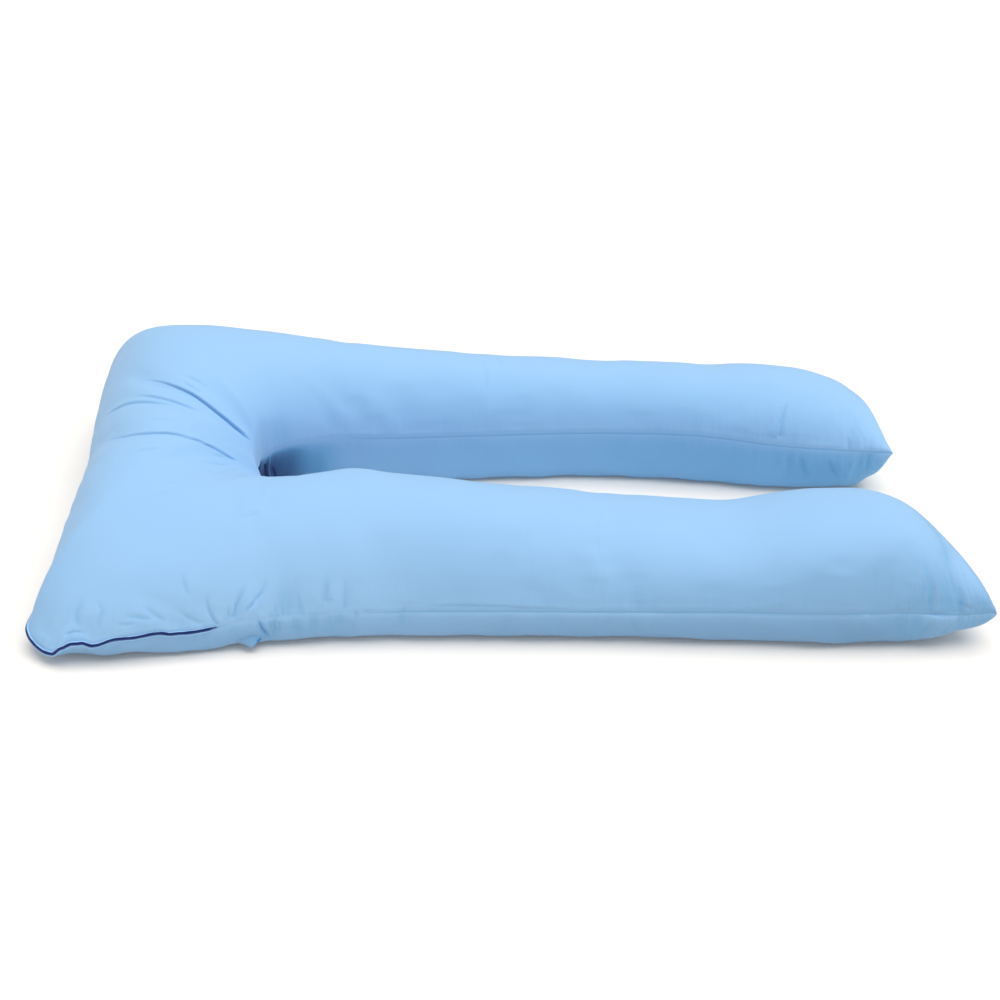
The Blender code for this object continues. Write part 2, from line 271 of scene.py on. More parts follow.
def loftPillow():
    # one ring is pulled out again and again round the U, then each ring takes
    # the shape of its section
    mesh = bmesh.new()
    layerOf = {name: mesh.verts.layers.float.new(name)
               for name in ("place", "across", "side", "angle", "seamGap", "runOut",
                            "runIn", "flatU", "flatV", "underExtra")}
    around = pillow["pointsAround"]
    ring = bmesh.ops.create_circle(mesh, segments=around, radius=1.0)["verts"]
    for number, vertex in enumerate(ring):
        vertex[layerOf["angle"]] = crowdedAngle(number)
    edges = list(mesh.edges)
    for place in ringPlaces():
        if place > 0:
            ring, edges = pullRing(mesh, edges)
        for vertex in ring:
            vertex[layerOf["place"]] = place
    for vertex in mesh.verts:
        angle = vertex[layerOf["angle"]]
        vertex.co = clothPoint(vertex[layerOf["place"]], angle)
        vertex[layerOf["across"]] = math.cos(angle)
        onSeam = abs(math.sin(angle)) < 0.0001
        vertex[layerOf["side"]] = 0.0 if onSeam else 1.0 if angle < math.pi else -1.0
    # how far the cloth runs from each point to the nearest seam
    mesh.verts.ensure_lookup_table()
    grid = np.array([vertex.co[:] for vertex in mesh.verts]).reshape(-1, around, 3)
    steps = np.linalg.norm(np.roll(grid, -1, axis=1) - grid, axis=2)
    half = around // 2
    overTop, below = runsFrom(steps[:, :half], 1), runsFrom(steps[:, half:], 1)
    toSide = np.hstack([np.minimum(run, run[:, -1:] - run)[:, :half]
                        for run in (overTop, below)])
    fromStart = runsFrom(np.linalg.norm(np.diff(grid, axis=0), axis=2))
    gaps = np.minimum(toSide, np.minimum(fromStart, fromStart[-1:] - fromStart))
    # the flat cloth's pattern: each ring lies along the line from its inner to
    # its outer seam point, at the cloth's own length
    inner, outer = grid[:, half, :2], grid[:, 0, :2]
    ways = (outer - inner) / np.linalg.norm(outer - inner, axis=1)[:, None]
    arcs = np.hstack([overTop[:, -1:] - overTop, below[:, 1:half]])
    flat = inner[:, None, :] + ways[:, None, :] * arcs[:, :, None]
    for number, vertex in enumerate(mesh.verts):
        ring, spot = divmod(number, around)
        measured = {"seamGap": gaps[ring, spot],
                    "runOut": fromStart[ring, 0],      # along the outer seam
                    "runIn": fromStart[ring, half],    # along the inner one
                    "flatU": flat[ring, spot, 0],
                    "flatV": flat[ring, spot, 1],
                    "underExtra": below[ring, half] - overTop[ring, half]}
        for name, value in measured.items():
            vertex[layerOf[name]] = value
    layFlat(mesh, layerOf, ways)
    # the panels meet in the end seams, so the first and last rings close flat
    bmesh.ops.remove_doubles(mesh, verts=mesh.verts, dist=pillow["weldWithin"])
    turnOutwards(mesh)
    fixOrder(mesh)
    return mesh


def addToScene(name, data):
    added = bpy.data.objects.new(name, data)
    bpy.context.scene.collection.objects.link(added)
    return added


def addPiece(name, mesh):
    data = bpy.data.meshes.new(name)
    mesh.to_mesh(data)
    mesh.free()
    return addToScene(name, data)


def startLow(data):
    # each edge and each face, all four sided, also starts from the lowest numbered
    # of its points; turned is where each corner of a face was before
    ends = np.zeros(len(data.edges) * 2, int)
    data.edges.foreach_get("vertices", ends)
    data.edges.foreach_set("vertices", np.sort(ends.reshape(-1, 2), axis=1).ravel())
    corners = np.zeros(len(data.loops), int)
    data.loops.foreach_get("vertex_index", corners)
    lowest = corners.reshape(-1, 4).argmin(axis=1)[:, None]
    turned = np.arange(len(corners)).reshape(-1, 4)[:, :1] + (lowest + np.arange(4)) % 4
    for part, name, kind, size in ((data.loops, "vertex_index", int, 1),
                                   (data.loops, "edge_index", int, 1),
                                   (data.uv_layers["cutCloth"].data, "uv", float, 2)):
        values = np.zeros(len(corners) * size, kind)
        part.foreach_get(name, values)
        part.foreach_set(name, values.reshape(-1, size)[turned.ravel()].ravel())
    data.update()


pillowCover = addPiece("pillowCover", loftPillow())
startLow(pillowCover.data)
pillowCover.data.shade_smooth()
print("pillow lofted,", len(pillowCover.data.vertices), "points")


def readPoints(piece, kind):
    # kind is co for the places and normal for the normals
    values = np.zeros(len(piece.data.vertices) * 3)
    piece.data.vertices.foreach_get(kind, values)
    return values.reshape(-1, 3)


def valuesOf(piece, name):
    values = np.zeros(len(piece.data.vertices))
    piece.data.attributes[name].data.foreach_get("value", values)
    return values


def storeValues(data, name, values):
    if name not in data.attributes:
        data.attributes.new(name, "FLOAT", "POINT")
    data.attributes[name].data.foreach_set("value", values)


def setPoints(piece, coords):
    coords[:, 2] = np.maximum(coords[:, 2], 0.0)
    piece.data.vertices.foreach_set("co", coords.ravel())
    piece.data.update()


def smoothed(values, piece, rounds):
    # each point's value drifts towards the mean of its neighbours
    edges = np.zeros(len(piece.data.edges) * 2, int)
    piece.data.edges.foreach_get("vertices", edges)
    one, two = edges.reshape(-1, 2).T
    count = np.bincount(np.concatenate([one, two]), minlength=len(values))[:, None]
    values = values.copy()
    for _ in range(rounds):
        total = np.stack([np.bincount(one, values[two, axis], len(values))
                          + np.bincount(two, values[one, axis], len(values))
                          for axis in range(values.shape[1])], axis=1)
        values = 0.5 * values + 0.5 * total / count
    return values


def applyModifiers(piece):
    graph = bpy.context.evaluated_depsgraph_get()
    finished = bpy.data.meshes.new_from_object(
        piece.evaluated_get(graph), preserve_all_data_layers=True, depsgraph=graph)
    piece.modifiers.clear()
    old = piece.data
    name = old.name
    piece.data = finished
    bpy.data.meshes.remove(old)
    finished.name = name


swelling = {
    "frames": 20,
    "cap": 0.0013,               # no point moves further than this
    "smoothRounds": 30,          # the broad swelling they leave is taken out again
    "calmCentre": (-0.39, 0.02),    # the crotch is shaped by given values instead
    "calmRadius": (0.07, 0.20),
    "heldRadius": 0.06,
    "calmSeam": 0.035,           # and the cloth beside the seams keeps its line
    "floorTouch": 0.0006,        # points lower than this rest on the floor
    "sewnWidth": 0.012,
    "cloth": {
        "quality": 5,
        "mass": 0.2,
        "tension_stiffness": 25,
        "compression_stiffness": 12,
        "shear_stiffness": 8,
        "bending_stiffness": 0.3,
        "use_pressure": True,
        "uniform_pressure_force": 4.0,
        "vertex_group_mass": "held",
        "vertex_group_shrink": "sewn",
        "shrink_min": -0.035,    # the panels are cut this much larger
        "shrink_max": 0.06,      # and the sewn edge is gathered this much
    },
}


def swellCloth(piece):
    # filling presses the slack cloth out between its gathered seams
    start = readPoints(piece, "co")
    gaps = valuesOf(piece, "seamGap")
    centre, (inside, outside) = swelling["calmCentre"], swelling["calmRadius"]
    fromCentre = np.hypot(start[:, 0] - centre[0], start[:, 1] - centre[1])
    still = (start[:, 2] < swelling["floorTouch"]) | (fromCentre < swelling["heldRadius"])
    held = piece.vertex_groups.new(name="held")
    held.add([int(number) for number in np.nonzero(still)[0]], 1.0, "REPLACE")
    sewn = piece.vertex_groups.new(name="sewn")
    for number in np.nonzero(gaps < swelling["sewnWidth"])[0]:
        sewn.add([int(number)], float(1 - gaps[number] / swelling["sewnWidth"]), "REPLACE")
    cloth = piece.modifiers.new("cloth", "CLOTH")
    for name, value in swelling["cloth"].items():
        setattr(cloth.settings, name, value)
    cloth.settings.effector_weights.gravity = 0
    cloth.point_cache.frame_start = 1
    cloth.point_cache.frame_end = swelling["frames"]
    for number in range(1, swelling["frames"] + 1):
        bpy.context.scene.frame_set(number)
    applyModifiers(piece)
    bpy.context.scene.frame_set(1)
    moved = readPoints(piece, "co") - start
    moved -= smoothed(moved, piece, swelling["smoothRounds"])
    moved *= ease((fromCentre - inside) / (outside - inside))[:, None]
    moved *= ease(gaps / swelling["calmSeam"])[:, None]
    reach = np.linalg.norm(moved, axis=1, keepdims=True) + tiny / 10
    moved *= swelling["cap"] * np.tanh(reach / swelling["cap"]) / reach
    setPoints(piece, start + moved)
    piece.vertex_groups.clear()
    return float(np.linalg.norm(moved, axis=1).max())


furthest = swellCloth(pillowCover)
print("cloth swelled, points move up to", round(furthest * 1000, 1), "mm")

refine = pillowCover.modifiers.new("refine", "SUBSURF")
refine.levels = refine.render_levels = 1
applyModifiers(pillowCover)
print("pillow refined,", len(pillowCover.data.vertices), "points")

# Folds are pressed into the cloth along lines of (row, turn) points, where the
# turn is 0 at the outer seam, 90 on top, 180 at the inner seam, and below 0 or
# past 180 underneath. Then come the fold's half width, depth and lip height in
# millimetres, the side of its lip (1 left of the line, -1 right, 0 none), and the
# shares of its length over which it fades in and out.
folds = (
    # the crown's creases, fanning out from the crotch
    (((16.91, 68), (16.915, 76), (16.827, 85.2), (16.731, 93.8), (16.629, 102.2),
      (16.525, 110.6), (16.404, 118.1), (16.282, 125.8), (16.173, 134), (16.066, 143.2),
      (16.195, 154.4), (16.946, 163.3)), 1.5, 4, 2.2, 1, 0.55, 0.16),
    (((17.076, 99.5), (17.11, 106.7), (17.121, 113.1), (17.101, 118.5), (17.121, 122.9)),
     2.4, 1.2, 0.7, 1, 0.4, 0.5),
    (((16.912, 99.8), (16.786, 107.2), (16.732, 112.7), (16.7, 118)),
     2.2, 1.1, 0.7, 1, 0.4, 0.5),
    (((16.546, 64.7), (16.457, 73.2), (16.332, 82.2), (16.206, 90.7), (16.098, 99),
      (16.005, 107.3), (15.923, 113.6), (15.811, 120.1), (15.827, 124.2)),
     1.9, 2, 1.4, 1, 0.4, 0.4),
    (((16.534, 37.7), (16.474, 47.3), (16.422, 55), (16.376, 63), (16.308, 70.3),
      (16.194, 79.4), (16.08, 88.1), (16.021, 95.2), (15.919, 102.5), (15.818, 109.7)),
     2, 2.4, 1.6, 1, 0.3, 0.45),
    (((15.944, 38.7), (15.818, 47.3), (15.649, 57.2), (15.422, 68.4), (15.296, 75.5),
      (15.133, 84.1), (14.972, 92.2), (14.819, 99.9), (14.614, 106.8), (14.362, 112.9),
      (14.133, 119.7), (13.757, 126.4), (13.259, 132.2), (12.855, 137.2), (12.553, 142.6)),
     1.3, 3, 1.3, 1, 0.55, 0.08),
    (((13.209, 125.7), (12.862, 130.2), (12.682, 135.5)), 2.2, 1.2, 0.6, 1, 0.4, 0.4),
    (((14.623, 75.6), (14.496, 84.3), (14.271, 93.8), (14.101, 100.9)),
     2.8, 1, 0.5, 1, 0.4, 0.4),
    (((12.523, 114.2), (12.147, 119.6), (11.964, 126.3), (12.153, 135.9)),
     2.6, 1.2, 0.6, 1, 0.4, 0.4),
    (((12.148, 103.1), (11.655, 108.9), (11.245, 115.6), (11.6, 130), (12.068, 143.5)),
     2.6, 0.9, 0.5, 1, 0.4, 0.4),
    (((15.583, 79.7), (15.373, 92.3), (15.136, 106.3)), 2.8, 0.8, 0.5, 1, 0.4, 0.4),
    (((11.922, 91.6), (11.386, 97)), 2.8, 0.7, 0.4, 1, 0.4, 0.4),
    (((11.761, 84.3), (11.282, 89.6)), 2.8, 0.7, 0.4, 1, 0.4, 0.4),
    (((9.59, 67.4), (9.243, 70.9)), 3, 0.8, 0.4, 1, 0.4, 0.4),
    # gathers where the zip ends
    (((10.07, 42.4), (10, 36.6), (9.92, 29.3), (9.83, 23.2)), 3.1, 1.5, 0.9, 1, 0.6, 0.4),
    (((10.08, 23.9), (9.97, 17.9), (9.85, 11.8), (9.75, 7.6), (9.66, 3)),
     2.7, 1.2, 0.8, -1, 0.6, 0.2),
    (((9.68, 27), (9.66, 18.8), (9.61, 10.9), (9.54, 2.5)), 2.2, 2, 1.5, 1, 0.6, 0.05),
    (((9.41, 16.8), (9.43, 8.9), (9.47, 1.5)), 1.8, 1.4, 1.2, -1, 0.6, 0.05),
    (((9.25, 29), (9.29, 20), (9.34, 12.5), (9.38, 3.6)), 2.5, 2, 1.5, 1, 0.6, 0.1),
    (((9.05, 32.4), (9.03, 24.8), (9.07, 19.1), (9.17, 12.6), (9.26, 6)),
     2.7, 2, 1.5, 1, 0.6, 0.2),
    (((9.09, 17), (9.105, 11)), 1.6, 1.1, 0.8, -1, 0.6, 0.4),
    (((9.1, 4), (9.09, 0), (9.065, -4), (9.03, -8), (9.01, -14)), 2.4, 3.5, 2.1, 1, 0.4, 0.25),
    (((8.95, 11), (8.93, 2), (8.94, -5), (8.98, -13)), 2, 2.1, 1.7, -1, 0.45, 0.25),
    (((8.87, 3), (8.9, -5), (8.95, -12)), 1.8, 1.7, 1.3, 1, 0.4, 0.3),
    (((8.77, 3), (8.75, -5), (8.73, -13)), 2.2, 1.8, 1.4, 1, 0.4, 0.4),
    (((8.82, 23.5), (8.8, 13.7), (8.79, 3)), 2, 1.4, 1, -1, 0.5, 0.2),
    (((8.69, 14), (8.695, 1)), 1.8, 1.3, 1, 1, 0.5, 0.1),
    (((8.55, 9), (8.565, -2), (8.56, -14)), 2, 1.6, 1.2, -1, 0.4, 0.4),
    (((8.44, 32.7), (8.435, 20.2), (8.44, 8.6)), 2.2, 1.7, 1, 1, 0.5, 0.2),
    (((8.31, 3), (8.32, -10)), 2, 1.3, 1, 1, 0.3, 0.5),
    (((8.26, 29.3), (8.26, 19), (8.27, 4)), 2.2, 1.8, 1.3, -1, 0.5, 0.1),
    (((8.13, 10), (8.17, -4), (8.2, -13)), 2, 1.6, 1.3, 1, 0.4, 0.4),
    (((8.04, 8), (8.1, -6)), 1.8, 1.3, 1, 1, 0.4, 0.4),
    (((7.72, 13), (7.75, -4), (7.76, -15)), 2.4, 1.7, 1.3, -1, 0.4, 0.4),
    (((7.5, 17), (7.51, 8), (7.51, 1)), 1.8, 0.9, 0.8, 1, 0.6, 0.1),
    # soft buckles beside the zip's near corner
    (((11.595, 40.3), (11.565, 34.7), (11.56, 29.9), (11.42, 22.9), (11.14, 15.6)),
     5.5, 1.4, 0.9, 1, 0.5, 0.4),
    (((11.17, 35), (10.96, 27), (10.945, 20.1), (10.91, 11.7)), 3.7, 1.5, 1, -1, 0.5, 0.3),
    (((11.8, 16.5), (11.61, 17.5), (11.36, 15.5), (11.07, 11.5)), 2.9, 1.1, 1, 1, 0.5, 0.4),
    (((10.69, 20.2), (10.5, 18.2), (10.29, 14.6), (10.2, 13.5)), 3.7, 1.3, 0.9, 1, 0.5, 0.4),
    (((10.47, 26.8), (10.31, 19.8), (10.16, 13.2), (10.08, 8.6)), 3.5, 1.3, 0.9, 1, 0.5, 0.3),
    (((10.74, 14.6), (10.56, 13.5), (10.41, 13)), 2.9, 0.9, 0.7, 1, 0.5, 0.4),
    (((11.56, -4), (11.45, -12), (11.35, -8)), 3.3, 1.1, 0.7, 1, 0.5, 0.4),
    (((10.85, -9), (10.72, -6.5), (10.59, -4.5)), 3.3, 1.1, 0.7, 1, 0.5, 0.4),
    # the near arm's long faint creases, the pressed edge above its seam, its end
    (((6.62, 96), (6.7, 66), (6.68, 38), (6.72, 6)), 3.4, 0.3, 0.3, 1, 0.3, 0.2),
    (((6.07, 98), (6.16, 70), (6.13, 40), (6.17, 4)), 3.4, 0.5, 0.4, -1, 0.3, 0.1),
    (((7.56, 6.5), (7.25, 8.3), (6.92, 7.5), (6.61, 5.5), (6.31, 4.5)),
     1.8, 1, 0.8, 1, 0.15, 0.3),
    (((6.857, 0), (6.864, -9.8), (6.863, -22.5)), 2.4, 1.1, 0.7, 1, 0.2, 0.4),
    (((6.12, 0), (6.09, -9.3), (6.07, -26)), 2.2, 0.9, 0.7, -1, 0.2, 0.4),
    (((5.91, 0), (5.86, -9.7), (5.81, -24)), 2.2, 1, 0.7, 1, 0.3, 0.4),
    (((5.7, 1), (5.72, -8.4), (5.74, -23)), 2.2, 0.8, 0.6, -1, 0.3, 0.4),
    (((5.9, 29.7), (5.86, 16.7), (5.82, 6.4)), 2.2, 0.6, 0.5, 1, 0.5, 0.3),
    (((5.78, 39.9), (5.76, 25.7)), 2, 0.5, 0.4, 1, 0.5, 0.4),
    (((6.44, 27.9), (6.45, 15.5)), 2, 0.5, 0.4, 1, 0.5, 0.4),
    (((6.06, 42.2), (6.06, 25.5), (6.06, 10.3)), 2.2, 0.5, 0.4, 1, 0.5, 0.3),
    (((3.456, 38.7), (3.468, 27)), 2.6, 0.6, 0.4, 1, 0.5, 0.4),
    (((3.57, 14), (3.57, 1.3)), 2.4, 0.6, 0.5, -1, 0.5, 0.1),
    (((3.09, 20.9), (3.13, 12.9), (3.13, 2.5)), 2.4, 1, 0.8, 1, 0.5, 0.05),
    (((2.738, 29.6), (2.733, 20.7), (2.85, 8.4)), 2.8, 1.1, 0.8, -1, 0.5, 0.2),
    (((2.53, 34.4), (2.535, 24.8), (2.596, 13), (2.62, 2)), 2.6, 1.3, 1, 1, 0.5, 0.05),
    (((1.96, 27.5), (2.04, 13.7), (2.04, 3.2)), 2.6, 1, 0.7, -1, 0.5, 0.1),
    (((2.13, 14.3), (1.95, 11.8), (1.69, 4.7)), 2.4, 1, 0.7, 1, 0.4, 0.3),
    (((2.47, -2), (2.61, -8.2), (2.73, -18)), 2.8, 1.3, 1, 1, 0.2, 0.5),
    (((2.76, -2), (2.83, -8), (2.9, -15)), 2.6, 1.1, 0.8, -1, 0.2, 0.5),
    (((2.1, -2), (2.25, -10), (2.4, -18)), 2.6, 1.1, 0.8, 1, 0.2, 0.5),
    (((3.57, -2), (3.65, -9)), 2.4, 0.8, 0.6, 1, 0.3, 0.5),
    # the far arm: a pleat, dents below its seam, faint creases on top
    (((27.049, 129.8), (26.959, 147.8), (26.909, 171.4)), 2.4, 1.8, 1.3, -1, 0.5, 0.05),
    (((26.961, 134.8), (26.908, 153.2), (26.872, 169.7)), 2.2, 1.1, 0.8, -1, 0.5, 0.05),
    (((27.3, 181), (27.42, 190), (27.6, 197)), 5.5, 0.7, 0.4, 1, 0.3, 0.5),
    (((27.85, 182), (28, 191), (28.25, 197)), 5.5, 0.8, 0.4, 1, 0.3, 0.5),
    (((28.3, 158), (28.32, 168), (28.34, 178)), 2.4, 1.2, 0.8, 1, 0.5, 0.05),
    (((28.75, 152), (28.78, 166), (28.8, 178)), 2.4, 1.3, 0.8, -1, 0.5, 0.05),
    (((23.95, 92), (24, 120), (24, 142)), 3, 0.8, 0.5, 1, 0.3, 0.4),
    (((24.1, 88), (24.15, 108)), 3, 0.8, 0.5, 1, 0.3, 0.4),
    (((24.85, 84), (24.9, 111)), 3, 0.7, 0.4, -1, 0.3, 0.4),
    # folds that plunge into the crotch, with a ridge between them
    (((19.56, 183), (19.96, 190.6), (20.13, 197.6), (20.2, 206)), 2.4, 4, 0, 0, 0.15, 0.2),
    (((19.75, 180), (20.12, 190.8), (20.31, 198.5), (20.4, 208)), 1.8, -4, 0, 0, 0.2, 0.2),
    (((20.18, 186.5), (20.39, 192.8), (20.51, 199), (20.6, 206)), 2.2, 3.4, 0, 0, 0.2, 0.2),
    (((18.73, 178), (19.1, 186), (19.3, 196)), 2.6, 3.6, 0, 0, 0.2, 0.3),
)
foldLook = {
    "steps": 6,                  # between two points of a line
    "reach": 27,                 # these are half widths of the fold
    "lipAt": 2.3,
    "lipInside": 1.2,
    "lipOutside": 4.0,
    "bankWidth": 3,
    "bankSinks": 0.15,           # share of the depth that the far bank sinks
    "flatten": 0.85,             # how far the cloth's curve is left out of a distance
    # the painted shade along a fold: its width in half widths, and the depth that gives all of
    # it
    "shadeWidth": 0.8,
    "shadeDepth": 0.0045,         # a fold this deep has its full painted shade
    # how folds get more points: least depth in millimetres, half widths, margin
    "refining": ((0.0, 3.2, 0.0030), (1.7, 1.8, 0.0020)),
    "searchBox": 0.02,
}
# broad soft swells and dents: row, turn, radius, height
swells = (
    (8.38, 116, 0.052, 0.0090),
)
seamLook = {
    # where the cloth rolls over the seam and hides its line: inner and outer rows
    "hiddenInner": ((11.5, 0.0), (13.0, 1.0), (20.8, 1.0), (23.2, 0.0)),
    "hiddenOuter": ((7.6, 0.0), (8.4, 0.65), (9.2, 0.9), (9.6, 0.0)),
    "grooveDepth": 0.0010,
    "grooveWidth": 0.0034,
    "allowanceRise": 0.0003,     # the seam's turned-in edge shows as a low ridge
    "allowanceAt": 0.0085,
    "allowanceWidth": 0.0040,
    "rolledOver": 0.0022,        # a hidden line lies this far round the roll
    "hiddenGroove": 0.8,         # and keeps this much less of its groove
    "restingBelow": 0.012,       # cloth this low lies still on the floor
}
zipper = {
    "slot": "zip_coil",
    "fromRow": 9.55,
    "toRow": 17.20,
    "clearOfSeam": 0.0024,       # from the seam to the coil's middle
    "pitch": 0.0019,             # from one tooth to the next
    "tooth": (0.0013, 0.0024, 0.0026),   # along, out and up
    "toothEdge": 0.0005,         # how much its edges are rounded
    "stagger": 0.0003,           # teeth from the two tapes sit this far up and down
    "tapeHeight": 0.0060,
    "tapeThickness": 0.0008,
    # the cloth's folded edges, upper and lower: how far up and down they lie, how
    # far out from the seam, and half their height
    "lipOffset": (0.0027, 0.0029),
    "lipOut": (-0.0004, 0.0018),
    "lipSize": (0.0007, 0.0012),
    "taperLength": 0.014,
    # how the zip waves up and down: row, lift
    "wave": ((9.40, -0.0010), (9.82, -0.0036), (10.02, -0.0012), (10.20, 0.0042),
             (10.47, 0.0030), (10.70, 0.0050), (10.95, 0.0000), (11.20, 0.0095),
             (11.42, 0.0130), (11.62, 0.0100), (11.86, 0.0010), (12.10, 0.0000),
             (13.60, 0.0000), (14.20, 0.0016), (14.80, -0.0012), (15.50, 0.0012),
             (16.20, -0.0010), (17.00, 0.0)),
    "waveReach": 0.030,          # how far the cloth beside the zip goes along
    "routeStep": 0.003,          # from one ring of the tape and lips to the next
    "tapeOut": 0.0009,
    "lipDepth": 0.0016,
    "lipWobble": 0.0003,
    "coilColours": ((0.010, 0.026, 0.180, 1.0), (0.022, 0.050, 0.260, 1.0)),
    "tapeColours": ((0.012, 0.028, 0.150, 1.0), (0.024, 0.050, 0.230, 1.0)),
    "ribPitch": 0.0006,
}
gathering = {
    # gathers along the seams: row, spread in rows, height in metres, reach in metres
    "bands": (
        (2.0, 1.2, 0.0036, 0.075),
        (4.6, 1.0, 0.0005, 0.040),
        (6.3, 1.3, 0.0006, 0.045),
        (8.9, 0.8, 0.0019, 0.045),
        (11.3, 1.6, 0.0009, 0.045),
        (15.5, 2.2, 0.0009, 0.045),
        (19.5, 1.5, 0.0010, 0.050),
        (23.0, 1.5, 0.0006, 0.045),
        (26.5, 1.2, 0.0008, 0.045),
        (29.4, 0.9, 0.0034, 0.060),
    ),
    # they are a sum of waves: length in metres, offset, seed, share
    "waves": ((0.011, 0, 3, 0.60), (0.024, 7, 5, 0.40), (0.0065, 3, 9, 0.25)),
    "reaching": (0.030, 11, 13, 0.55),   # the same for how far they reach
    "swing": (0.05, 0.06, 17, 0.25),     # and for how they sway, along and away
    "innerRun": 40.0,            # keeps the inner seam's waves unlike the outer one's
    "underRun": 0.4,             # and the underside's unlike the top's
    "clearOfSeam": 0.006,
    "noneAt": (16, 4.5, -0.3),   # the crotch has none: row, spread, from this across
    "fineClear": 0.004,
    "fullHeight": 0.0026,        # gathers this high carry the most fine ones
    "shadeDepth": 0.0012,         # a hollow this deep has its full painted shade
}
shading = {
    # painted shade along the folds' lines
    "creases": 0.36,
    "gatherHollowShade": 0.13,             # painted shade in the hollows between the gathers
    # the lower panel lies in the object's own shade between the arms, by row
    "underPanel": ((0.0, 0.30), (19.0, 0.02), (22.5, 0.08), (24.5, 0.20), (26.0, 0.26),
                   (28.0, 0.36), (31.0, 0.30)),
    # and outside it is painted a greyer shade where it faces the floor, by row
    "floorSideShade": ((0.0, 0.80), (2.0, 0.78), (3.5, 0.98), (5.0, 0.84), (6.5, 0.76),
                  (8.0, 0.52), (8.7, 0.66), (9.4, 0.72), (9.9, 0.62), (10.6, 0.80),
                  (11.1, 0.98), (11.6, 0.80), (13.0, 0.50), (19.0, 0.40), (31.0, 0.40)),
    "crotch": 0.92,
    "crotchRows": ((11.0, 0.0), (13.5, 1.0), (20.0, 1.0), (20.8, 0.84), (21.6, 0.42),
                   (22.4, 0.06), (24.0, 0.0)),
    "crotchReach": 0.018,
    # cloth lights cloth between the arms: the far arm's inner side, by row
    "innerSide": ((21.0, 0.0), (24.0, 0.05), (27.0, 0.06), (29.0, 0.0)),
    # the outer sides are painted a little darker than the top, as shade, by row
    "flankShade": ((0.0, 0.95), (2.0, 0.72), (5.0, 0.55), (7.0, 0.38), (8.3, 0.12), (9.2, 0.02),
              (11.5, 0.06), (13.0, 0.20), (19.0, 0.30), (31.0, 0.30)),
    "tipRows": 1.4,
    "seamReach": 0.012,
    "outwardBand": 0.4,          # the inner half turns into the outer half inside it
    "flankBand": 0.5,
    "most": 0.97,
}


def smoothNoise(places, seed):
    # a soft random wave that passes through one random height a unit
    heights = np.random.RandomState(seed).uniform(-1, 1, 4096)
    whole = np.floor(places).astype(int)
    part = ease(places - whole)
    return (heights[whole % len(heights)] * (1 - part)
            + heights[(whole + 1) % len(heights)] * part)


def foldLine(points):
    # a smooth line on the cloth through its (row, turn) points
    points = np.array(points, float)
    ends = np.vstack([2 * points[0] - points[1], points, 2 * points[-1] - points[-2]])
    line = []
    for number in range(1, len(ends) - 2):
        before, here, following, after = ends[number - 1:number + 3]
        for step in np.arange(foldLook["steps"]) / foldLook["steps"]:
            line.append(0.5 * (2 * here + (following - before) * step
                               + (2 * before - 5 * here + 4 * following - after) * step**2
                               + (3 * here - before - 3 * following + after) * step**3))
    line.append(points[-1])
    return np.array([clothPoint(place, math.radians(turn % 360)) for place, turn in line])


def numbersNear(coords, line, margin):
    inside = (coords > line.min(axis=0) - margin) & (coords < line.max(axis=0) + margin)
    return np.nonzero(np.all(inside, axis=1))[0]


def pressFold(coords, normals, fold):
    points, *sizes, lipSide, fadeIn, fadeOut = fold
    width, depth, lip = np.array(sizes) / 1000
    line = foldLine(points)
    numbers = numbersNear(coords, line, foldLook["reach"] * width)
    place, normal = coords[numbers], normals[numbers]
    lengths = np.linalg.norm(np.diff(line, axis=0), axis=1)
    runs = runsFrom(lengths)
    best = np.full(len(numbers), np.inf)
    side = np.zeros(len(numbers))
    along = np.zeros(len(numbers))
    for start, stop, run, length in zip(line[:-1], line[1:], runs, lengths):
        way = (stop - start) / max(length, tiny)
        share = np.clip((place - start) @ way, 0, length)
        away = place - (start + share[:, None] * way)
        away -= np.sum(away * normal, axis=1)[:, None] * normal * foldLook["flatten"]
        distance = np.linalg.norm(away, axis=1)
        closer = distance < best
        best[closer] = distance[closer]
        side[closer] = np.sign(np.sum(np.cross(way, away) * normal, axis=1))[closer]
        along[closer] = ((run + share) / runs[-1])[closer]
    fade = ease(along / fadeIn) * ease((1 - along) / fadeOut)
    height = -depth * np.exp(-(best / width) ** 2)
    if lipSide:
        across = best * side * lipSide
        beyond = across - foldLook["lipAt"] * width
        spread = np.where(beyond < 0, foldLook["lipInside"], foldLook["lipOutside"]) * width
        height += lip * np.exp(-(beyond / spread) ** 2) * (across > 0)
        bank = np.exp(-(across / (foldLook["bankWidth"] * width)) ** 2) * (across <= 0)
        height -= foldLook["bankSinks"] * depth * bank
    # painted shade, darkest along the fold's line
    dark = np.exp(-(best / (foldLook["shadeWidth"] * width)) ** 2)
    dark *= min(depth / foldLook["shadeDepth"], 1.0)
    return numbers, height * fade, dark * fade


def refineFolds(piece, leastDepth, reach, margin):
    # the cloth near each fold gets twice the points both ways
    coords = readPoints(piece, "co")
    near = np.zeros(len(coords), bool)
    for points, width, depth, *_ in folds:
        if depth < leastDepth:
            continue
        line = foldLine(points)
        numbers = numbersNear(coords, line, foldLook["searchBox"])
        for spot in line:
            away = np.linalg.norm(coords[numbers] - spot, axis=1)
            near[numbers] |= away < reach * width / 1000 + margin
    mesh = bmesh.new()
    mesh.from_mesh(piece.data)
    mesh.verts.index_update()
    edges = [edge for edge in mesh.edges
             if near[edge.verts[0].index] and near[edge.verts[1].index]]
    bmesh.ops.subdivide_edges(mesh, edges=edges, cuts=1, use_grid_fill=True, smooth=0.0)
    mesh.to_mesh(piece.data)
    mesh.free()
    piece.data.shade_smooth()


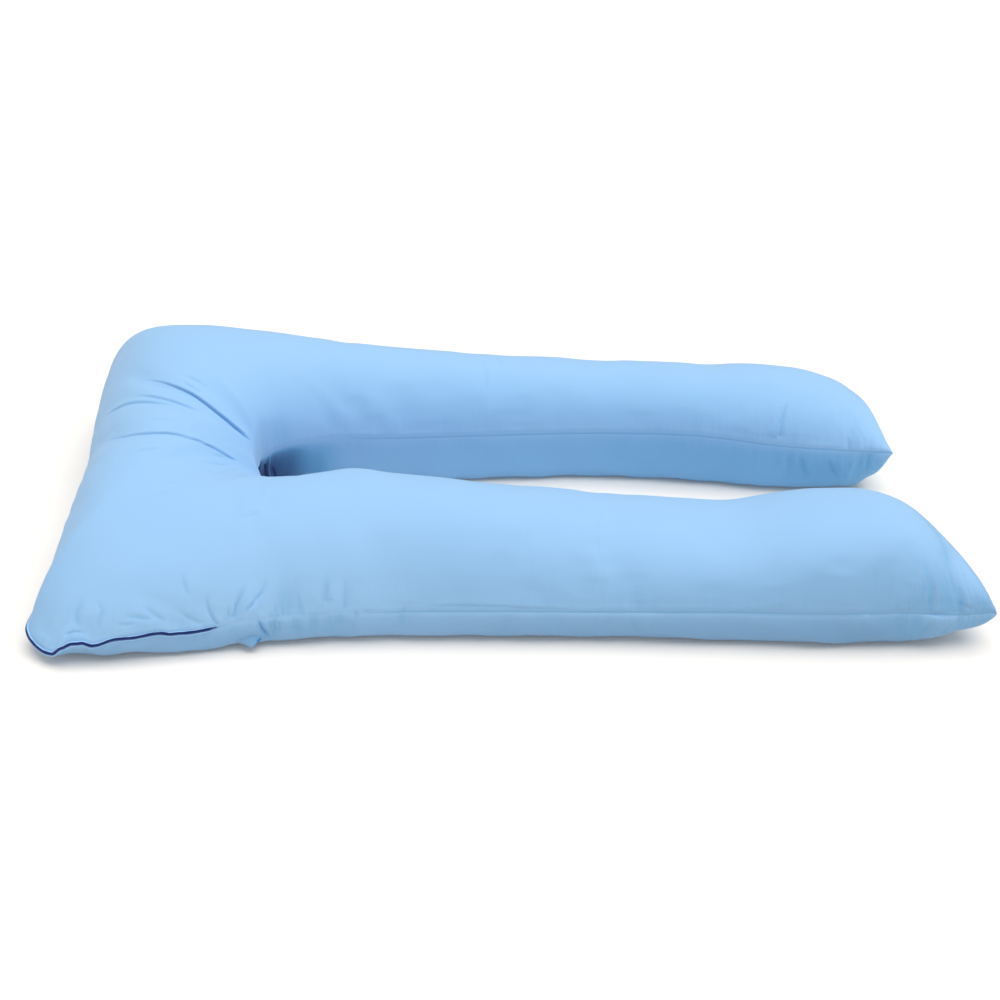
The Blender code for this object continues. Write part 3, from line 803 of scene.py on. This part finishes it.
def gatherCloth(piece, place, side, across, gap):
    # gathers run square to the seam and die away from it
    outer = across > 0
    run = np.where(outer, valuesOf(piece, "runOut"), valuesOf(piece, "runIn"))
    run = run + np.where(outer, 0.0, gathering["innerRun"])
    run = run + np.where(side > 0, 0.0, gathering["underRun"])
    wave = np.zeros(len(run))
    for length, offset, seed, share in gathering["waves"]:
        wave += share * smoothNoise(run / length + offset, seed)
    length, offset, seed, share = gathering["reaching"]
    longer = 1 + share * smoothNoise(run / length + offset, seed)
    length, away, seed, share = gathering["swing"]
    wave += share * smoothNoise(run / length + gap / away, seed)
    height, fine = np.zeros(len(run)), np.zeros(len(run))
    for row, spread, strength, reach in gathering["bands"]:
        envelope = np.exp(-((place - row) / spread) ** 2)
        envelope *= np.exp(-(gap / (reach * longer)) ** 2)
        height += strength * wave * envelope
        fine += strength / gathering["fullHeight"] * envelope
    storeValues(piece.data, "gathered",
                np.clip(fine, 0.0, 1.0) * ease(gap / gathering["fineClear"]))
    row, spread, least = gathering["noneAt"]
    calm = np.exp(-((place - row) / spread) ** 2) * (across < least)
    return height * ease(gap / gathering["clearOfSeam"]) * (1 - calm)


def pressSeam(piece, place, across, gap):
    # the seam is a narrow groove between its two turned-in edges
    hidden = np.where(across < 0, byRow(seamLook["hiddenInner"], place),
                      byRow(seamLook["hiddenOuter"], place))
    storeValues(piece.data, "seamGap", gap + seamLook["rolledOver"] * hidden)
    groove = seamLook["grooveDepth"] * (1 - seamLook["hiddenGroove"] * hidden)
    beyond = (gap - seamLook["allowanceAt"]) / seamLook["allowanceWidth"]
    return (seamLook["allowanceRise"] * np.exp(-beyond ** 2)
            - groove * np.exp(-(gap / seamLook["grooveWidth"]) ** 2))


def shadeCloth(piece, shadow, normals, place, side, across, gap):
    # painted grey shade covers the arms' ends right across, and further in the outer half
    fromEnd = np.minimum(place, len(rows) - 1 - place)
    tip = 1.0 - ease(fromEnd / shading["tipRows"])
    outward = np.maximum(ease(0.5 + across / shading["outwardBand"]), tip)
    under = (side < 0) * (1 - np.exp(-gap / shading["seamReach"]))
    shadow += byRow(shading["underPanel"], place) * under * (1 - outward)
    greyShade = byRow(shading["floorSideShade"], place) * under * outward
    # the least light reaches the cloth under the crotch's seam
    below = (side < 0) * (across < 0) * (1 - np.exp(-gap / shading["crotchReach"]))
    shadow += shading["crotch"] * byRow(shading["crotchRows"], place) * below
    shadow += byRow(shading["innerSide"], place) * ease((-across - 0.15) / 0.75)
    # painted grey shade on the steep outer sides, more than on the top
    steep = ease((1.0 - normals[:, 2]) / 0.5) * (side >= 0)
    outer = np.maximum(ease((across + shading["flankBand"]) / shading["flankBand"]), tip)
    greyShade += byRow(shading["flankShade"], place) * steep * outer
    storeValues(piece.data, "greyShade", np.clip(greyShade, 0.0, 1.0))
    storeValues(piece.data, "shadow", np.clip(shadow, 0.0, shading["most"]))


def dressCloth(piece):
    coords, normals = readPoints(piece, "co"), readPoints(piece, "normal")
    place, side, across, gap = (valuesOf(piece, name)
                                for name in ("place", "side", "across", "seamGap"))
    height = gatherCloth(piece, place, side, across, gap)
    # painted shade in the gathers' hollows and along the folds
    shadow = shading["gatherHollowShade"] * np.clip(-height / gathering["shadeDepth"], 0.0, 1.0)
    for fold in folds:
        numbers, pressed, dark = pressFold(coords, normals, fold)
        height[numbers] += pressed
        shadow[numbers] += shading["creases"] * dark
    for row, turn, radius, rises in swells:
        centre = np.array(clothPoint(row, math.radians(turn)))
        distance = np.linalg.norm(coords - centre, axis=1)
        height += rises * np.exp(-(distance / radius) ** 2)
    height += pressSeam(piece, place, across, gap)
    resting = ease(coords[:, 2] / seamLook["restingBelow"])
    coords = coords + normals * (height * resting)[:, None]
    # the zip's seam waves up and down and takes the cloth beside it along
    lift = byRow(zipper["wave"], place) * (across > 0)
    coords[:, 2] += lift * np.exp(-(gap / zipper["waveReach"]) ** 2) * resting
    setPoints(piece, coords)
    shadeCloth(piece, shadow, normals, place, side, across, gap)
    return height * 1000


for leastDepth, reach, margin in foldLook["refining"]:
    refineFolds(pillowCover, leastDepth, reach, margin)
print("pillow refined beside its folds,", len(pillowCover.data.vertices), "points")
height = dressCloth(pillowCover)
print("folds pressed, from", round(float(height.min()), 1), "to",
      round(float(height.max()), 1), "mm")


def addNode(tree, kind, inputs=None, **settings):
    # each input is a number, a colour or another node's output
    node = tree.nodes.new(kind)
    for name, value in settings.items():
        setattr(node, name, value)
    for name, value in (inputs or {}).items():
        if isinstance(value, bpy.types.NodeSocket):
            tree.links.new(value, node.inputs[name])
        else:
            node.inputs[name].default_value = value
    return node


def addMath(tree, operation, *values):
    return addNode(tree, "ShaderNodeMath", dict(enumerate(values)),
                   operation=operation).outputs[0]


def addNoise(tree, vector, scale, detail, roughness=0.5):
    return addNode(tree, "ShaderNodeTexNoise", {
        "Vector": vector, "Scale": scale, "Detail": detail,
        "Roughness": roughness}).outputs["Fac"]


def addBands(tree, vector, direction, pitch, **inputs):
    # one band a thread: Blender's wave texture repeats every pi / 10 at scale 1
    named = {name.replace("_", " "): value for name, value in inputs.items()}
    return addNode(tree, "ShaderNodeTexWave",
                   {"Vector": vector, "Scale": math.pi / 10 / pitch, **named},
                   wave_type="BANDS", bands_direction=direction,
                   wave_profile="SIN").outputs["Fac"]


def addMix(tree, factor, first, second):
    return addNode(tree, "ShaderNodeMix", {"Factor": factor, "A": first, "B": second},
                   data_type="RGBA").outputs["Result"]


def addRamp(tree, value, start, stop, first=0.0, last=1.0):
    return addNode(tree, "ShaderNodeMapRange", {
        "Value": value, "From Min": start, "From Max": stop,
        "To Min": first, "To Max": last}).outputs["Result"]


def addBump(tree, height, distance, under=None, strength=1.0, invert=False):
    inputs = {"Height": height, "Distance": distance, "Strength": strength}
    if under:
        inputs["Normal"] = under
    return addNode(tree, "ShaderNodeBump", inputs, invert=invert).outputs["Normal"]


def readLayer(tree, name):
    return addNode(tree, "ShaderNodeAttribute", attribute_name=name).outputs["Fac"]


def startMaterial(name, constants):
    material = bpy.data.materials.new(name)
    material.use_nodes = True
    shader = material.node_tree.nodes["Principled BSDF"]
    for socket, value in constants.items():
        shader.inputs[socket].default_value = value
    return material


def finishMaterial(material, **looks):
    tree = material.node_tree
    shader = tree.nodes["Principled BSDF"]
    for name, socket in (("colour", "Base Color"), ("roughness", "Roughness"),
                         ("normal", "Normal")):
        if name in looks:
            tree.links.new(looks[name], shader.inputs[socket])
    return material


cotton = {
    "colour": (0.325, 0.580, 0.890, 1.0),
    "washedColour": (0.350, 0.600, 0.900, 1.0),   # where the dye took less
    "greyShadeColour": (0.188, 0.378, 0.612, 1.0),   # painted grey shade where it faces the floor
    "shadedColour": (0.155, 0.425, 0.730, 1.0),   # painted shade, bluer where cloth lights cloth
    "shadowColour": (0.004, 0.036, 0.195, 1.0),   # deep in creases and the crotch
    # each painted shade colour comes in between two values of its layer
    "shadeTones": (("greyShadeColour", 0.0, 1.0), ("shadedColour", 0.0, 0.45),
              ("shadowColour", 0.35, 1.0)),
    "dyeScale": 7.0,
    "dyeShares": (0.9, 0.8),     # of the cloudiness and of the slubs
    "seamWidth": 0.0016,
    "seamTone": 0.30,
    "seamRelief": 0.0006,
    "roughness": 0.79,
    "slubRoughness": 0.06,
    "sheen": 0.2,
    "sheenRoughness": 0.45,
    "specular": 0.25,
    "threadPitch": 0.00048,
    "threadRelief": 0.00007,
    "threadShares": (2.0, 0.5),  # of the weave and of the slubs
    "slubStretch": (60.0, 1500.0),
    "crumple": 0.00045,
    "crumpleScale": 26.0,
    "gatherPitch": (0.0062, 0.045),   # fine gathers, along and away from the seam
    "gatherRelief": 0.0016,
    # painted shade in the fine gathers' hollows
    "fineGatherShade": 0.50,
}


def cottonMaterial():
    # plain-woven cotton: crossing threads with slubs, a soft crumple, a little
    # cloudiness in the dye, and painted shade in creases, hollows and on the flanks
    material = startMaterial("blueCotton", {
        "Specular IOR Level": cotton["specular"], "Sheen Weight": cotton["sheen"],
        "Sheen Roughness": cotton["sheenRoughness"]})
    tree = material.node_tree
    cut = addNode(tree, "ShaderNodeUVMap", uv_map="cutCloth").outputs["UV"]
    place = addNode(tree, "ShaderNodeTexCoord").outputs["Object"]
    threads = [addMath(tree, "SUBTRACT",
                       addBands(tree, cut, direction, cotton["threadPitch"],
                                Distortion=0.6, Detail=1.0, Detail_Scale=0.4), 0.5)
               for direction in ("X", "Y")]
    weave = addMath(tree, "MULTIPLY", *threads)
    # slubs are short thick stretches of thread
    least, most = cotton["slubStretch"]
    slubs = [addNoise(tree, addNode(tree, "ShaderNodeMapping",
                                    {"Vector": cut, "Scale": stretch}).outputs["Vector"],
                      1.0, 2.0)
             for stretch in ((least, most, 1.0), (most, least, 1.0))]
    slub = addMath(tree, "ADD", *slubs)
    weaveShare, slubShare = cotton["threadShares"]
    relief = addMath(tree, "MULTIPLY_ADD", weave, weaveShare,
                     addMath(tree, "MULTIPLY", slub, slubShare))
    crumple = addNoise(tree, place, cotton["crumpleScale"], 3.0, 0.45)
    # fine gathers run square to the seam
    gap = readLayer(tree, "seamGap")
    run = readLayer(tree, "runOut")
    alongPitch, awayPitch = cotton["gatherPitch"]
    spot = addNode(tree, "ShaderNodeCombineXYZ", {
        "X": addMath(tree, "DIVIDE", run, alongPitch),
        "Y": addMath(tree, "DIVIDE", gap, awayPitch)}).outputs["Vector"]
    ripple = addMath(tree, "SUBTRACT", addNoise(tree, spot, 1.0, 1.0), 0.5)
    rippled = addMath(tree, "MULTIPLY", ripple, readLayer(tree, "gathered"))
    # the seam is a fine line where the two panels meet
    seamLine = addRamp(tree, gap, 0.0, cotton["seamWidth"], 1.0, 0.0)
    normal = addBump(tree, crumple, cotton["crumple"])
    normal = addBump(tree, rippled, cotton["gatherRelief"], normal)
    normal = addBump(tree, seamLine, cotton["seamRelief"], normal, invert=True)
    normal = addBump(tree, relief, cotton["threadRelief"], normal)
    # the dye, then the painted shade and shadow over it
    cloud = addNoise(tree, place, cotton["dyeScale"], 3.0)
    cloudShare, slubShare = cotton["dyeShares"]
    uneven = addMath(tree, "MULTIPLY_ADD", cloud, cloudShare,
                     addMath(tree, "MULTIPLY_ADD", slub, slubShare, -slubShare))
    colour = addMix(tree, uneven, cotton["colour"], cotton["washedColour"])
    # the seam's dark line, painted shadow from its layer, and painted shade in the fine
    # gathers' hollows
    shaded = addMath(tree, "MULTIPLY_ADD", seamLine, cotton["seamTone"],
                     readLayer(tree, "shadow"))
    shaded = addMath(tree, "MULTIPLY_ADD", rippled, -cotton["fineGatherShade"], shaded)
    greyShade = readLayer(tree, "greyShade")
    for name, start, stop in cotton["shadeTones"]:
        reach = addRamp(tree, greyShade if name == "greyShadeColour" else shaded, start, stop)
        colour = addMix(tree, reach, colour, cotton[name])
    rough = addMath(tree, "MULTIPLY_ADD", slub, cotton["slubRoughness"],
                    cotton["roughness"])
    return finishMaterial(material, colour=colour, roughness=rough, normal=normal)


def coilMaterial():
    # moulded nylon, a little glossy, with fine scratches
    material = startMaterial("navyCoil", {"Specular IOR Level": 0.5})
    tree = material.node_tree
    place = addNode(tree, "ShaderNodeTexCoord").outputs["Object"]
    scratches = addNoise(tree, place, 700.0, 3.0)
    return finishMaterial(
        material, colour=addMix(tree, scratches, *zipper["coilColours"]),
        roughness=addMath(tree, "MULTIPLY_ADD", scratches, 0.2, 0.32),
        normal=addBump(tree, scratches, 0.00005, strength=0.5))


def tapeMaterial():
    # the woven tape behind the coil: fine ribs across it
    material = startMaterial("navyTape", {"Specular IOR Level": 0.2,
                                          "Sheen Weight": 0.15, "Roughness": 0.8})
    tree = material.node_tree
    cut = addNode(tree, "ShaderNodeUVMap", uv_map="cutCloth").outputs["UV"]
    ribs = addBands(tree, cut, "X", zipper["ribPitch"], Distortion=0.4)
    return finishMaterial(
        material, colour=addMix(tree, ribs, *zipper["tapeColours"]),
        normal=addBump(tree, ribs, 0.0001, strength=0.6))


blueCotton = cottonMaterial()
pillowCover.data.materials.append(blueCotton)
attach(pillowCover, "root")
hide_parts("pillow")


def zipRoute(step):
    # points evenly spaced along the outer seam where the zip is sewn in, each
    # with the directions along it, out from the cloth and up
    places = np.linspace(zipper["fromRow"], zipper["toRow"], 900)
    seam = np.array([clothPoint(place, 0.0) for place in places])
    seam[:, 2] += byRow(zipper["wave"], places)
    inner = np.array([clothPoint(place, math.pi) for place in places])
    runs = runsFrom(np.linalg.norm(np.diff(seam, axis=0), axis=1))
    even = np.linspace(0.0, runs[-1], int(runs[-1] / step) + 1)
    points, facing = (np.stack([np.interp(even, runs, values[:, axis])
                                for axis in range(3)], axis=1)
                      for values in (seam, seam - inner))
    along = np.gradient(points, axis=0)
    along /= np.linalg.norm(along, axis=1)[:, None]
    out = np.stack([along[:, 1], -along[:, 0], 0 * along[:, 0]], axis=1)
    out *= np.sign(np.sum(out * facing, axis=1))[:, None]
    out /= np.linalg.norm(out, axis=1)[:, None]
    up = np.cross(along, out)
    up *= np.sign(up[:, 2:])
    return [tuple(Vector(way) for way in ways) for ways in zip(points, along, out, up)]


def finishPiece(mesh, name, material):
    piece = addPiece(name, mesh)
    if material == blueCotton:
        # no seam runs across these
        storeValues(piece.data, "seamGap", np.ones(len(piece.data.vertices)))
    piece.data.materials.append(material)
    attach(piece, "root")
    return piece


def sweepAlong(route, sections, height, depth, sides=12):
    # an oval is pulled along the route; sections gives each ring's place out
    # and up from the route, and how full it is
    mesh = bmesh.new()
    angleOf = mesh.verts.layers.float.new("angle")
    runOf = mesh.verts.layers.float.new("run")
    ring = bmesh.ops.create_circle(mesh, cap_ends=True, segments=sides, radius=1.0)["verts"]
    for number, vertex in enumerate(ring):
        vertex[angleOf] = 2 * math.pi * number / sides
    edges = list(mesh.edges)
    run = 0.0
    for number, ((point, _, out, up), section) in enumerate(zip(route, sections)):
        if number:
            run += (point - route[number - 1][0]).length
            ring, edges = pullRing(mesh, edges)
        outBy, upBy, fullness = section
        for vertex in ring:
            vertex[runOf] = run
            angle = vertex[angleOf]
            vertex.co = (point + out * (outBy + depth * fullness * math.cos(angle))
                         + up * (upBy + height * fullness * math.sin(angle)))
    bmesh.ops.contextual_create(mesh, geom=edges)
    turnOutwards(mesh)
    pattern = mesh.loops.layers.uv.new("cutCloth")
    for face in mesh.faces:
        face.smooth = True
        for corner in face.loops:
            corner[pattern].uv = (corner.vert[runOf],
                                  height * math.sin(corner.vert[angleOf]))
    return mesh


def tapered(number, count, step):
    # the zip narrows into the seam at both ends
    nearEnd = min(number, count - 1 - number) * step / zipper["taperLength"]
    return 0.25 + 0.75 * float(ease(nearEnd))


def makeCoil(route):
    # one rounded tooth, copied along the zip, up and down in turn
    mesh = bmesh.new()
    bmesh.ops.create_cube(mesh, size=1.0)
    bmesh.ops.scale(mesh, vec=zipper["tooth"], verts=mesh.verts)
    bmesh.ops.bevel(mesh, geom=list(mesh.edges), offset=zipper["toothEdge"],
                    offset_type="OFFSET", segments=1, profile=0.5, affect="EDGES",
                    material=-1)
    first = list(mesh.verts) + list(mesh.edges) + list(mesh.faces)
    for number, (point, along, out, up) in enumerate(route):
        full = tapered(number, len(route), zipper["pitch"])
        place = (point + out * zipper["clearOfSeam"] * full
                 + up * zipper["stagger"] * (1 if number % 2 else -1))
        turned = Matrix((along, out * full, up * full)).transposed().to_4x4()
        copied = bmesh.ops.duplicate(mesh, geom=first)["geom"]
        tooth = [part for part in copied if isinstance(part, bmesh.types.BMVert)]
        bmesh.ops.transform(mesh, matrix=Matrix.Translation(place) @ turned, verts=tooth)
    bmesh.ops.delete(mesh, geom=[part for part in first
                                 if isinstance(part, bmesh.types.BMVert)], context="VERTS")
    turnOutwards(mesh)
    return mesh


def lipSections(count, away, up, seed):
    # the cloth's folded edge beside the coil, a little uneven, closing at its ends
    wobble = smoothNoise(np.arange(count) * 0.30, seed)
    sections = []
    for number in range(count):
        full = tapered(number, count, zipper["routeStep"])
        sections.append((away * full + zipper["lipWobble"] * wobble[number],
                         up * (0.2 + 0.8 * full) + zipper["lipWobble"] * wobble[-number],
                         full * (1 + 0.12 * wobble[number // 2])))
    return sections


zipCoil = finishPiece(makeCoil(zipRoute(zipper["pitch"])), "zipCoil", coilMaterial())
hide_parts("zip")
sewnRoute = zipRoute(zipper["routeStep"])
tapeSections = [(zipper["tapeOut"], 0.0, tapered(number, len(sewnRoute), zipper["routeStep"]))
                for number in range(len(sewnRoute))]
finishPiece(sweepAlong(sewnRoute, tapeSections, zipper["tapeHeight"] / 2,
                       zipper["tapeThickness"] / 2),
            "zipTape", tapeMaterial())
for number, (name, side) in enumerate((("zipUpperLip", 1), ("zipLowerLip", -1))):
    sections = lipSections(len(sewnRoute), zipper["lipOut"][number],
                           side * zipper["lipOffset"][number], 21 + side)
    finishPiece(sweepAlong(sewnRoute, sections, zipper["lipSize"][number],
                           zipper["lipDepth"]), name, blueCotton)
print("zip sewn in,", len(zipCoil.data.vertices), "points in its coil")

tuck = {
    # along the seam past the zip's end, as (row, turn), and its loose edge
    "root": ((9.40, -11), (9.33, -10), (9.25, -9), (9.17, -9), (9.10, -11)),
    "edge": ((-0.4215, -0.3600, 0.0185), (-0.4100, -0.3655, 0.0165),
             (-0.3965, -0.3700, 0.0145), (-0.3905, -0.3665, 0.0185),
             (-0.3835, -0.3590, 0.0210)),
    "cutSize": (0.048, 0.024),
    "bulge": 0.0004,
    "ripple": 0.0006,
    "rippleWaves": (18, 3),      # along and down the fold, in radians
    "thickness": 0.0010,
    "shadow": 0.80,              # on the half that turns away from the light
    # painted grey shade all over the tuck
    "greyShade": 0.85,
}


def makeTuck():
    # a small fold of the panel that hangs loose from the seam
    root = np.array([clothPoint(row, math.radians(turn % 360)) for row, turn in tuck["root"]])
    root[:, 1] += 2 * tuck["thickness"]
    edge = np.array(tuck["edge"])
    share = np.linspace(0, 1, len(root))
    waveAlong, waveDown = tuck["rippleWaves"]
    mesh = bmesh.new()
    bmesh.ops.create_grid(mesh, x_segments=24, y_segments=10, size=0.5)
    shadowOf = mesh.verts.layers.float.new("shadow")
    greyShadeOf = mesh.verts.layers.float.new("greyShade")
    spots = {}
    for vertex in mesh.verts:
        across, down = vertex.co.x + 0.5, vertex.co.y + 0.5
        spots[vertex] = (across, down)
        top, loose = (np.array([np.interp(across, share, line[:, axis]) for axis in range(3)])
                      for line in (root, edge))
        place = top + (loose - top) * down
        place[1] -= (tuck["bulge"] * math.sin(math.pi * min(down, 0.8))
                     * math.sin(math.pi * across))
        place[1] += tuck["ripple"] * math.sin(waveAlong * across + waveDown * down) * down
        vertex.co = Vector(place)
        # painted shadow on the half turned from the light, and painted grey shade all over
        vertex[shadowOf] = tuck["shadow"] * float(ease((across - 0.66) / 0.2)) * down
        vertex[greyShadeOf] = tuck["greyShade"]
    pattern = mesh.loops.layers.uv.new("cutCloth")
    for face in mesh.faces:
        for corner in face.loops:
            corner[pattern].uv = [size * part for size, part
                                  in zip(tuck["cutSize"], spots[corner.vert])]
    bmesh.ops.solidify(mesh, geom=list(mesh.faces), thickness=tuck["thickness"])
    turnOutwards(mesh)
    for face in mesh.faces:
        face.smooth = True
    return mesh


clothTuck = finishPiece(makeTuck(), "clothTuck", blueCotton)
print("tuck folded,", len(clothTuck.data.vertices), "points")

studio = {
    "floorSize": 30.0,
    "floorColour": (0.93, 0.88, 0.825, 1.0),
    "floorGlow": 0.06,
    "cameraPlace": (-0.0421, -2.6277, 1.638),
    "cameraTilt": 58.89,         # degrees up from straight down
    "cameraTurn": -0.68,
    "lens": 64.8,
    "viewEnd": 60.0,
    "skyColour": (1.0, 1.0, 1.0, 1.0),
    "skyStrength": 0.5,
    "keyFrom": (0.20, -0.09, 1.0),  # the direction the soft light comes from
    "keySpread": 55.0,           # degrees
    "keyPower": 2.12,
}

ground = bmesh.new()
bmesh.ops.create_grid(ground, x_segments=1, y_segments=1, size=studio["floorSize"] / 2)
studioFloor = addPiece("studioFloor", ground)
studioFloor.data.materials.append(startMaterial("palePaper", {
    "Base Color": studio["floorColour"], "Roughness": 0.9, "Specular IOR Level": 0.0,
    "Emission Color": studio["floorColour"], "Emission Strength": studio["floorGlow"]}))

sky = bpy.data.worlds.new("studioSky")
bpy.context.scene.world = sky
sky.use_nodes = True
skyInputs = sky.node_tree.nodes["Background"].inputs
skyInputs["Color"].default_value = studio["skyColour"]
skyInputs["Strength"].default_value = studio["skyStrength"]

keyData = bpy.data.lights.new("keyLight", "SUN")
keyData.angle = math.radians(studio["keySpread"])
keyData.energy = studio["keyPower"]
keyLight = addToScene("keyLight", keyData)
keyLight.location = Vector(studio["keyFrom"]) * 3
keyLight.rotation_euler = Vector(studio["keyFrom"]).to_track_quat("Z", "Y").to_euler()

cameraData = bpy.data.cameras.new("studioCamera")
cameraData.lens = studio["lens"]
cameraData.clip_end = studio["viewEnd"]
studioCamera = addToScene("studioCamera", cameraData)
studioCamera.location = studio["cameraPlace"]
studioCamera.rotation_euler = (math.radians(studio["cameraTilt"]), 0.0,
                               math.radians(studio["cameraTurn"]))
bpy.context.scene.camera = studioCamera
bpy.context.scene.view_settings.view_transform = "Standard"
print("studio set")
